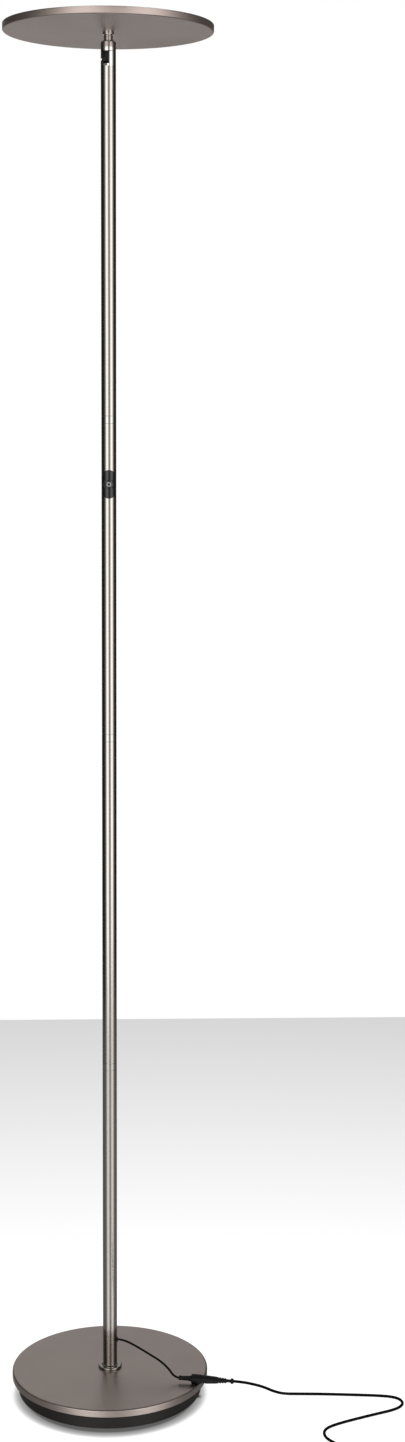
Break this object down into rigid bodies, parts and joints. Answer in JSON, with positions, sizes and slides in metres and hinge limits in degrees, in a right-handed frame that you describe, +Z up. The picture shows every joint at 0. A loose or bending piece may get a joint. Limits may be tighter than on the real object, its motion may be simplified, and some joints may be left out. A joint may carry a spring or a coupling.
{
  "type": "torchiere floor lamp",
  "caption": "Slim torchiere floor lamp: thin disc head on a tilt joint, straight pole with polished joint rings, weighted round base, low-voltage lead and wall adapter.",
  "frame": {"origin": "centre of the underside of the base, on the floor", "axes": "+Z up along the pole, -Y the front, where the switch faces"},
  "size_m": [0.4695, 0.435, 1.6],
  "materials": {
    "satin_nickel": "brushed satin nickel plating",
    "polished_nickel": "polished nickel plating",
    "black_steel": "black oxide",
    "zinc_steel": "zinc plated",
    "cast_iron": "raw casting",
    "black_moulding": "moulded, slight sheen",
    "felt": "felt",
    "black_gloss": "gloss black",
    "circuit_board": "green solder mask",
    "white_board": "white solder mask on aluminium",
    "led_phosphor": "phosphor coated",
    "aluminium": "mill finish",
    "white_reflector": "white",
    "opal_acrylic": "satin opal",
    "acetal": "natural",
    "soft_black": "soft moulded, slight sheen",
    "cord_jacket": "soft jacket",
    "adapter_case": "fine spark texture",
    "plated_brass": "nickel plated"
  },
  "bodies": {
    "stand": {"base_cover": "satin_nickel", "pole_tube_1": "satin_nickel", "pole_tube_2": "satin_nickel", "pole_tube_3": "satin_nickel", "pole_tube_4": "satin_nickel", "foot_ring": "polished_nickel", "joint_ring_1": "polished_nickel", "joint_ring_2": "polished_nickel", "joint_ring_3": "polished_nickel", "fork": "polished_nickel", "pivot_screw": "zinc_steel", "base_nut": "zinc_steel", "base_washer": "zinc_steel", "base_nipple": "zinc_steel", "foot_socket": "zinc_steel", "pole_sockets": "zinc_steel", "base_weight": "cast_iron", "base_tray": "black_moulding", "switch_carrier": "black_moulding", "switch_block": "black_moulding", "base_felt": "felt", "switch_panel": "black_gloss", "switch_board": "circuit_board", "adapter_board": "circuit_board", "friction_washers": "acetal", "cord_grommet": "soft_black", "jack_relief": "soft_black", "jack_body": "soft_black", "plug_body": "soft_black", "plug_relief": "soft_black", "adapter_relief": "soft_black", "cable_tie": "soft_black", "lamp_lead": "cord_jacket", "adapter_cord": "cord_jacket", "cord_coil": "cord_jacket", "adapter_tail": "cord_jacket", "pole_harness": "cord_jacket", "top_harness": "cord_jacket", "adapter_shell": "adapter_case", "adapter_cover": "adapter_case", "plug_barrel": "plated_brass", "adapter_prongs": "plated_brass"},
    "head": {"tilt_lug": "black_steel", "knuckle": "polished_nickel", "neck_stem": "polished_nickel", "neck_washer": "zinc_steel", "neck_nut": "zinc_steel", "head_pan": "satin_nickel", "heat_spreader": "aluminium", "led_board": "white_board", "leds": "led_phosphor", "board_nuts": "zinc_steel", "reflector": "white_reflector", "diffuser": "opal_acrylic", "bezel": "satin_nickel", "head_harness": "cord_jacket"},
    "button": {"switch_button": "black_gloss"}
  },
  "joints": [
    {"name": "head_tilt", "type": "hinge", "parent": "stand", "child": "head", "pos_m": [-0.00114, -0.00383, 1.5624], "axis": [0.9583, -0.2857, 0], "range_deg": [0, 90]},
    {"name": "button_press", "type": "slide", "parent": "stand", "child": "button", "axis": [0, 1, 0], "range_m": [0, 0.0006], "stiffness_N_per_m": 3000}
  ]
}
